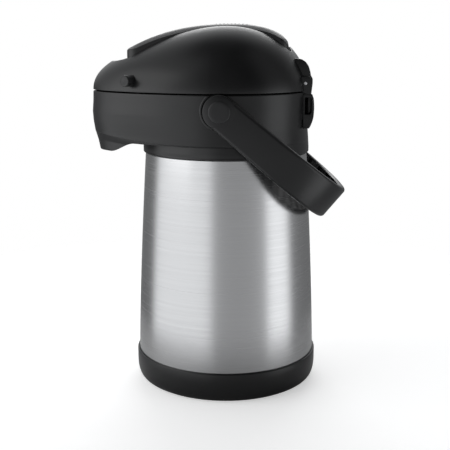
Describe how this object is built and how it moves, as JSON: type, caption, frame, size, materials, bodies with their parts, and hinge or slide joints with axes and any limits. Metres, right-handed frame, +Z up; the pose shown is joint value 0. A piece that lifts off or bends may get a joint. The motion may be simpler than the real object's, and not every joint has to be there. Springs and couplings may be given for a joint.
{
  "type": "thermal airpot",
  "caption": "Steel vacuum jug with a black pump head, forward spout nose, hinged dome lid with press panel, release buttons and a swinging bail handle.",
  "frame": {"origin": "centre of the foot's resting face, on the axis of the steel jug", "axes": "+Z up along the jug's axis, -Y towards the spout, +X to the side that lies on the left of someone who faces the spout's way from behind the jug"},
  "size_m": [0.1838, 0.238, 0.3374],
  "materials": {
    "black_plastic": "fine matte moulding",
    "soft_black": "soft matte",
    "jug_steel": "satin, brushed round the jug",
    "fastener_steel": "plain",
    "grey_rubber": "matte",
    "flask_glass": "silvered vacuum flask",
    "natural_plastic": "natural polypropylene"
  },
  "bodies": {
    "pot": {"base_cup": "black_plastic", "foot_ring": "grey_rubber", "base_plug": "black_plastic", "flask_cushion": "grey_rubber", "steel_body": "jug_steel", "glass_flask": "flask_glass", "mouth_gasket": "grey_rubber", "inner_ring": "black_plastic", "collar": "black_plastic", "collar_screws": "fastener_steel", "hinge_bracket": "black_plastic", "bracket_screws": "fastener_steel", "stopper": "natural_plastic", "stopper_seal": "grey_rubber", "riser_tube": "natural_plastic", "safety_ball": "fastener_steel", "spout_duct": "natural_plastic", "spout_nozzle": "black_plastic", "pivot_studs": "fastener_steel", "pivot_caps": "soft_black", "hinge_pin": "fastener_steel"},
    "lid": {"lid_shell": "black_plastic", "lid_plate": "soft_black", "lid_screws": "fastener_steel", "lid_seal": "grey_rubber", "panel_pin": "fastener_steel", "bellows": "grey_rubber", "bellows_spring": "fastener_steel", "button_spring_right": "fastener_steel", "button_spring_left": "fastener_steel"},
    "panel": {"pump_panel": "black_plastic", "panel_pad": "soft_black"},
    "piston": {"pusher": "natural_plastic", "air_valve": "grey_rubber"},
    "right_button": {"button_right": "soft_black"},
    "left_button": {"button_left": "soft_black"},
    "bail": {"bail_handle": "black_plastic"}
  },
  "joints": [
    {"name": "lid_hinge", "type": "hinge", "parent": "pot", "child": "lid", "pos_m": [0, 0.0713, 0.285], "axis": [-1, 0, 0], "range_deg": [0, 75]},
    {"name": "panel_press", "type": "hinge", "parent": "lid", "child": "panel", "pos_m": [0, 0.049, 0.314], "axis": [1, 0, 0], "range_deg": [0, 10], "stiffness_Nm_per_rad": 6, "springref_deg": -14.32},
    {"name": "piston_slide", "type": "slide", "parent": "lid", "child": "piston", "axis": [0, 0, -1], "range_m": [0, 0.0088], "deforming": ["bellows", "bellows_spring"]},
    {"name": "right_button_slide", "type": "slide", "parent": "lid", "child": "right_button", "axis": [-0.8192, 0.5736, 0], "range_m": [0, 0.004], "stiffness_N_per_m": 400, "springref_m": -0.004, "deforming": ["button_spring_right"]},
    {"name": "left_button_slide", "type": "slide", "parent": "lid", "child": "left_button", "axis": [0.8192, 0.5736, 0], "range_m": [0, 0.004], "stiffness_N_per_m": 400, "springref_m": -0.004, "deforming": ["button_spring_left"]},
    {"name": "bail_swing", "type": "hinge", "parent": "pot", "child": "bail", "pos_m": [0, -0.006, 0.2635], "axis": [1, 0, 0], "range_deg": [0, 130]}
  ],
  "couplings": [
    {"joint": "piston_slide", "follows": "panel_press", "m_per_rad": 0.049}
  ]
}
